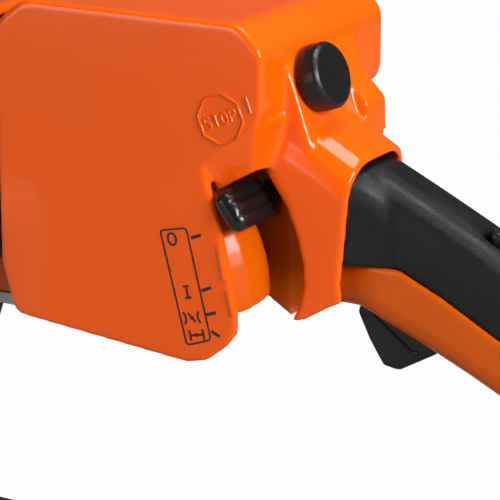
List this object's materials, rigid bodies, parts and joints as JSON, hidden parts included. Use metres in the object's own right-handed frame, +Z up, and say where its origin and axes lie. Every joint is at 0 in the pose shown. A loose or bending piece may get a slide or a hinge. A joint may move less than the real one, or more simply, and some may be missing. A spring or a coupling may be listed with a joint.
{
  "type": "petrol chainsaw",
  "caption": "Petrol chainsaw with orange covers, rear handle with throttle trigger, master lever, front handle, hand guard, guide bar and chain.",
  "frame": {"origin": "on the flat underside of the crankcase, straight below the crankshaft's middle", "axes": "+X towards the rear handle, -Y towards the starter side (the operator's left), +Z up; the guide bar points to -X"},
  "size_m": [0.797, 0.2101, 0.2785],
  "materials": {
    "alloy_casting": "cast, satin",
    "steel": "machined",
    "orange_cover": "glossy orange",
    "orange_shell": "satin orange",
    "black_grip": "soft grip",
    "black_plastic": "semi-gloss black",
    "dark_plastic": "matt black",
    "grey_plastic": "light grey",
    "tank_plastic": "translucent grey",
    "rubber": "matt",
    "muffler_steel": "heat-darkened",
    "ceramic": "white insulator",
    "filter_felt": "felt",
    "rope": "braided",
    "chain_steel": "dark steel"
  },
  "bodies": {
    "crankcase": {"crankcase_left": "alloy_casting", "crankcase_right": "alloy_casting", "connecting_rod": "steel", "piston": "alloy_casting", "piston_pin": "steel", "cylinder": "alloy_casting", "spark_plug": "ceramic", "ignition_lead": "rubber", "ignition_coil": "dark_plastic", "muffler": "muffler_steel", "starter_housing": "grey_plastic", "recoil_spring": "steel", "oil_pump": "black_plastic", "clutch_cover": "dark_plastic", "bar_nut_1": "steel", "bar_nut_2": "steel", "brake_band": "steel", "chain_tensioner": "steel", "chain_catcher": "alloy_casting", "bumper_spikes": "steel", "guide_bar": "steel", "saw_chain": "chain_steel", "engine_shroud": "orange_cover", "carburettor_cover": "orange_cover", "handle_housing": "orange_shell", "grip_cover": "black_grip", "rear_guard": "dark_plastic", "trigger_spring": "steel", "trigger_pin": "steel", "lock_pin": "steel", "fuel_tank": "tank_plastic", "carburettor": "alloy_casting", "intake_boot": "rubber", "air_filter": "filter_felt", "front_handle": "dark_plastic", "vibration_buffer": "rubber"},
    "crankshaft": {"crankshaft": "steel", "flywheel": "alloy_casting", "starter_pawl": "black_plastic", "clutch_hub": "steel", "clutch_shoe_1": "steel", "clutch_shoe_2": "steel", "clutch_shoe_3": "steel"},
    "clutch_drum": {"clutch_drum": "steel", "drum_bearing": "steel"},
    "nose_sprocket": {"nose_sprocket": "steel"},
    "starter_pulley": {"starter_pulley": "black_plastic"},
    "starter_grip": {"starter_grip": "rubber", "starter_rope": "rope"},
    "hand_guard": {"hand_guard": "black_plastic"},
    "master_lever": {"master_lever": "black_plastic", "lever_shaft": "steel"},
    "choke_flap": {"choke_flap": "steel"},
    "throttle_trigger": {"throttle_trigger": "black_plastic"},
    "throttle_lock": {"throttle_lock": "black_plastic"},
    "throttle_rod": {"throttle_rod": "steel"},
    "twist_lock": {"twist_lock": "black_plastic"},
    "fuel_cap": {"fuel_cap": "black_plastic"},
    "oil_cap": {"oil_cap": "black_plastic"}
  },
  "joints": [
    {"name": "crank_spin", "type": "hinge", "parent": "crankcase", "child": "crankshaft", "pos_m": [0, 0, 0.075], "axis": [0, 1, 0], "continuous": true},
    {"name": "drum_spin", "type": "hinge", "parent": "crankcase", "child": "clutch_drum", "pos_m": [0, 0.05, 0.075], "axis": [0, 1, 0], "continuous": true},
    {"name": "nose_spin", "type": "hinge", "parent": "crankcase", "child": "nose_sprocket", "pos_m": [-0.392, 0.0405, 0.075], "axis": [0, 1, 0], "continuous": true},
    {"name": "starter_pull", "type": "slide", "parent": "crankcase", "child": "starter_grip", "axis": [0, 0, 1], "range_m": [0, 0.06], "stiffness_N_per_m": 25, "springref_m": -0.04},
    {"name": "pulley_spin", "type": "hinge", "parent": "crankcase", "child": "starter_pulley", "pos_m": [0, -0.076, 0.075], "axis": [0, 1, 0], "range_deg": [-5, 150]},
    {"name": "guard_tilt", "type": "hinge", "parent": "crankcase", "child": "hand_guard", "pos_m": [-0.034, 0, 0.158], "axis": [0, -1, 0], "range_deg": [0, 10]},
    {"name": "lever_turn", "type": "hinge", "parent": "crankcase", "child": "master_lever", "pos_m": [0.178, -0.018, 0.129], "axis": [0, 1, 0], "range_deg": [0, 49]},
    {"name": "choke_turn", "type": "hinge", "parent": "crankcase", "child": "choke_flap", "pos_m": [0.15, 0.008, 0.14], "axis": [0, 1, 0], "range_deg": [-70, 0]},
    {"name": "trigger_pull", "type": "hinge", "parent": "crankcase", "child": "throttle_trigger", "pos_m": [0.262, -0.002, 0.131], "axis": [0, -1, 0], "range_deg": [0, 12], "stiffness_Nm_per_rad": 0.3, "springref_deg": -11.46},
    {"name": "lock_press", "type": "hinge", "parent": "crankcase", "child": "throttle_lock", "pos_m": [0.311, -0.002, 0.14], "axis": [0, 1, 0], "range_deg": [0, 7], "stiffness_Nm_per_rad": 0.2, "springref_deg": -11.46},
    {"name": "rod_push", "type": "slide", "parent": "crankcase", "child": "throttle_rod", "axis": [-1, 0, 0], "range_m": [0, 0.0037]},
    {"name": "lock_twist", "type": "hinge", "parent": "crankcase", "child": "twist_lock", "pos_m": [0.2389, -0.015, 0.208], "axis": [0.9455, 0, 0.3256], "range_deg": [0, 90]},
    {"name": "fuel_cap_turn", "type": "hinge", "parent": "crankcase", "child": "fuel_cap", "pos_m": [0.12, 0.044, 0.097], "axis": [0, -1, 0], "range_deg": [0, 90]},
    {"name": "oil_cap_turn", "type": "hinge", "parent": "crankcase", "child": "oil_cap", "pos_m": [-0.0744, -0.016, 0.03], "axis": [1, 0, 0], "range_deg": [0, 90]}
  ],
  "couplings": [
    {"joint": "choke_turn", "follows": "lever_turn", "ratio": -1.4},
    {"joint": "nose_spin", "follows": "drum_spin", "ratio": 0.7778},
    {"joint": "pulley_spin", "follows": "starter_pull", "rad_per_m": 40},
    {"joint": "rod_push", "follows": "trigger_pull", "m_per_rad": 0.015}
  ]
}
